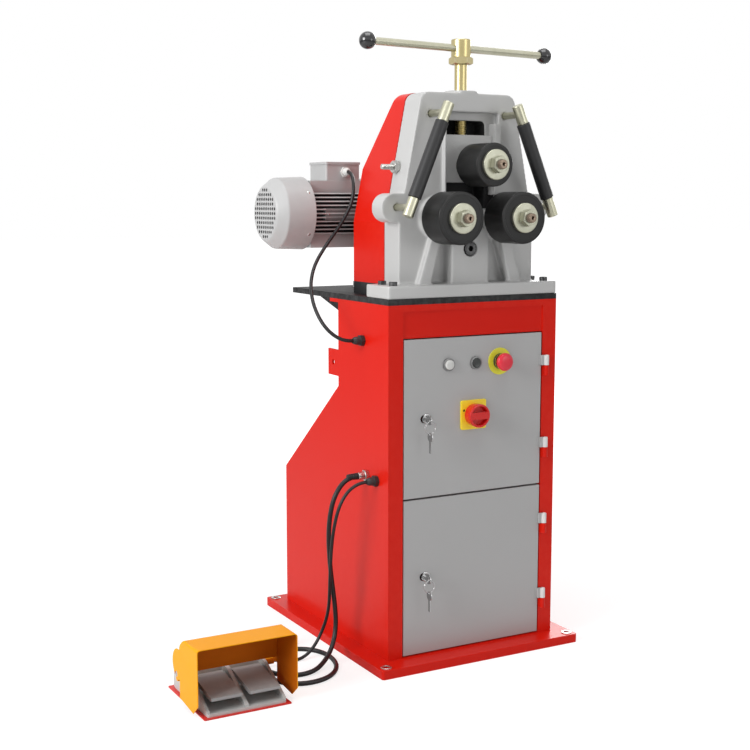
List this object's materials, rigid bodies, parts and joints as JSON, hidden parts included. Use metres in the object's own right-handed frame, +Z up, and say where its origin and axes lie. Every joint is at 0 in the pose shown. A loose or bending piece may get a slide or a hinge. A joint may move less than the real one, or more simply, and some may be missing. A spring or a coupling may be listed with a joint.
{
  "type": "ring roller",
  "caption": "Floor-standing motor-driven ring roller with stacked bending rolls, a tee-handled pressure screw, a two-door cabinet and a foot pedal.",
  "frame": {"origin": "on the floor, in the middle of the four floor-anchor holes of the base tray", "axes": "+X to the right seen from the front, +Y to the back, +Z up; the rolls face -Y"},
  "size_m": [0.9486, 0.659, 1.361],
  "materials": {
    "red_paint": "satin",
    "grey_paint": "satin",
    "casting_grey": "satin",
    "motor_grey": "satin",
    "black_steel": "satin",
    "zinc_yellow": "satin",
    "bright_steel": "satin",
    "dark_steel": "satin",
    "gear_steel": "satin",
    "bronze": "satin",
    "lock_chrome": "polished",
    "red_plastic": "gloss",
    "yellow_plastic": "gloss",
    "black_plastic": "matte",
    "black_gloss": "gloss",
    "green_plastic": "gloss",
    "sleeve_rubber": "matte",
    "cable_black": "matte",
    "hood_orange": "satin",
    "pedal_grey": "satin",
    "grey_plastic": "matte"
  },
  "bodies": {
    "stand": {"base_tray": "red_paint", "anchor_washers": "bright_steel", "cabinet_shell": "red_paint", "cabinet_shelf": "red_paint", "switchgear": "grey_plastic", "top_slab": "black_steel", "head_casting": "casting_grey", "head_bolts": "black_steel", "gear_cover": "red_paint", "gib_strip": "bright_steel", "side_lock_bolt": "bright_steel", "shaft_bearings": "bright_steel", "guide_rods": "zinc_yellow", "gearbox_housing": "motor_grey", "motor_housing": "motor_grey", "fan_cover": "motor_grey", "terminal_box": "motor_grey", "cable_glands": "grey_plastic", "motor_cable": "cable_black", "pedal_cable": "cable_black", "mains_cable": "cable_black", "mains_plug": "black_plastic", "pedal_base_plate": "red_paint", "pedal_housing": "pedal_grey", "pedal_hood": "hood_orange"},
    "upper_door": {"door_upper": "grey_paint", "door_fittings_upper": "bright_steel", "switch_backplates": "yellow_plastic", "control_bezels": "bright_steel", "contact_blocks": "black_plastic"},
    "lower_door": {"door_lower": "grey_paint", "door_fittings_lower": "bright_steel"},
    "upper_lock": {"lock_key_upper": "lock_chrome"},
    "lower_lock": {"lock_key_lower": "lock_chrome"},
    "emergency_stop": {"estop_head": "red_plastic"},
    "start_button": {"push_button": "green_plastic"},
    "main_switch": {"switch_knob": "red_plastic"},
    "slide_block": {"carriage": "casting_grey", "carriage_bearings": "bright_steel"},
    "screw": {"pressure_screw": "zinc_yellow", "handle_bar": "zinc_yellow", "ball_knobs": "black_gloss"},
    "upper_roll": {"shaft_upper": "bright_steel", "roller_upper": "dark_steel", "roll_nut_upper": "zinc_yellow"},
    "lower_left_roll": {"shaft_lower_left": "bright_steel", "roller_lower_left": "dark_steel", "roll_nut_lower_left": "zinc_yellow", "driven_gear_lower_left": "gear_steel"},
    "lower_right_roll": {"shaft_lower_right": "bright_steel", "roller_lower_right": "dark_steel", "roll_nut_lower_right": "zinc_yellow", "driven_gear_lower_right": "gear_steel"},
    "drive": {"drive_shaft": "gear_steel", "worm_wheel": "bronze"},
    "rotor": {"motor_rotor": "gear_steel"},
    "left_sleeve": {"guide_sleeve_left": "sleeve_rubber"},
    "right_sleeve": {"guide_sleeve_right": "sleeve_rubber"},
    "left_pedal": {"pedal_left": "pedal_grey"},
    "right_pedal": {"pedal_right": "pedal_grey"}
  },
  "joints": [
    {"name": "upper_door_hinge", "type": "hinge", "parent": "stand", "child": "upper_door", "pos_m": [0.1885, -0.259, 0.55], "axis": [0, 0, 1], "range_deg": [0, 110]},
    {"name": "lower_door_hinge", "type": "hinge", "parent": "stand", "child": "lower_door", "pos_m": [0.1885, -0.259, 0.2], "axis": [0, 0, 1], "range_deg": [0, 110]},
    {"name": "upper_lock_turn", "type": "hinge", "parent": "upper_door", "child": "upper_lock", "pos_m": [-0.129, -0.2525, 0.548], "axis": [0, 1, 0], "range_deg": [0, 90]},
    {"name": "lower_lock_turn", "type": "hinge", "parent": "lower_door", "child": "lower_lock", "pos_m": [-0.129, -0.2525, 0.197], "axis": [0, 1, 0], "range_deg": [0, 90]},
    {"name": "emergency_stop_press", "type": "slide", "parent": "upper_door", "child": "emergency_stop", "axis": [0, 1, 0], "range_m": [0, 0.006], "stiffness_N_per_m": 2000},
    {"name": "start_button_press", "type": "slide", "parent": "upper_door", "child": "start_button", "axis": [0, 1, 0], "range_m": [0, 0.004], "stiffness_N_per_m": 800},
    {"name": "main_switch_turn", "type": "hinge", "parent": "upper_door", "child": "main_switch", "pos_m": [-0.004, -0.2525, 0.549], "axis": [0, 1, 0], "range_deg": [0, 90]},
    {"name": "slide_block_travel", "type": "slide", "parent": "stand", "child": "slide_block", "axis": [0, 0, 1], "range_m": [-0.03, 0.045]},
    {"name": "screw_turn", "type": "hinge", "parent": "slide_block", "child": "screw", "pos_m": [0, -0.1855, 1.2], "axis": [0, 0, 1], "range_deg": [-4200, 4200]},
    {"name": "upper_roll_spin", "type": "hinge", "parent": "slide_block", "child": "upper_roll", "pos_m": [0, -0.2825, 1.0905], "axis": [0, 1, 0], "continuous": true},
    {"name": "lower_left_roll_spin", "type": "hinge", "parent": "stand", "child": "lower_left_roll", "pos_m": [-0.079, -0.2825, 0.9785], "axis": [0, 1, 0], "continuous": true},
    {"name": "lower_right_roll_spin", "type": "hinge", "parent": "stand", "child": "lower_right_roll", "pos_m": [0.079, -0.2825, 0.9785], "axis": [0, 1, 0], "continuous": true},
    {"name": "drive_spin", "type": "hinge", "parent": "stand", "child": "drive", "pos_m": [0, -0.0525, 0.9114], "axis": [0, 1, 0], "continuous": true},
    {"name": "rotor_spin", "type": "hinge", "parent": "stand", "child": "rotor", "pos_m": [-0.15, 0.0975, 0.9864], "axis": [1, 0, 0], "continuous": true},
    {"name": "left_sleeve_spin", "type": "hinge", "parent": "stand", "child": "left_sleeve", "pos_m": [-0.0945, -0.2765, 1.199], "axis": [-0.3894, 0, -0.9211], "continuous": true},
    {"name": "right_sleeve_spin", "type": "hinge", "parent": "stand", "child": "right_sleeve", "pos_m": [0.0945, -0.2765, 1.199], "axis": [0.3894, 0, -0.9211], "continuous": true},
    {"name": "left_pedal_press", "type": "hinge", "parent": "stand", "child": "left_pedal", "pos_m": [-0.62, -0.2065, 0.042], "axis": [1, 0, 0], "range_deg": [0, 10], "stiffness_Nm_per_rad": 6, "springref_deg": -5.73},
    {"name": "right_pedal_press", "type": "hinge", "parent": "stand", "child": "right_pedal", "pos_m": [-0.535, -0.2065, 0.042], "axis": [1, 0, 0], "range_deg": [0, 10], "stiffness_Nm_per_rad": 6, "springref_deg": -5.73}
  ],
  "couplings": [
    {"joint": "lower_right_roll_spin", "follows": "lower_left_roll_spin", "ratio": 1},
    {"joint": "drive_spin", "follows": "lower_left_roll_spin", "ratio": -2},
    {"joint": "rotor_spin", "follows": "lower_left_roll_spin", "ratio": -120},
    {"joint": "screw_turn", "follows": "slide_block_travel", "rad_per_m": -1570.8}
  ]
}
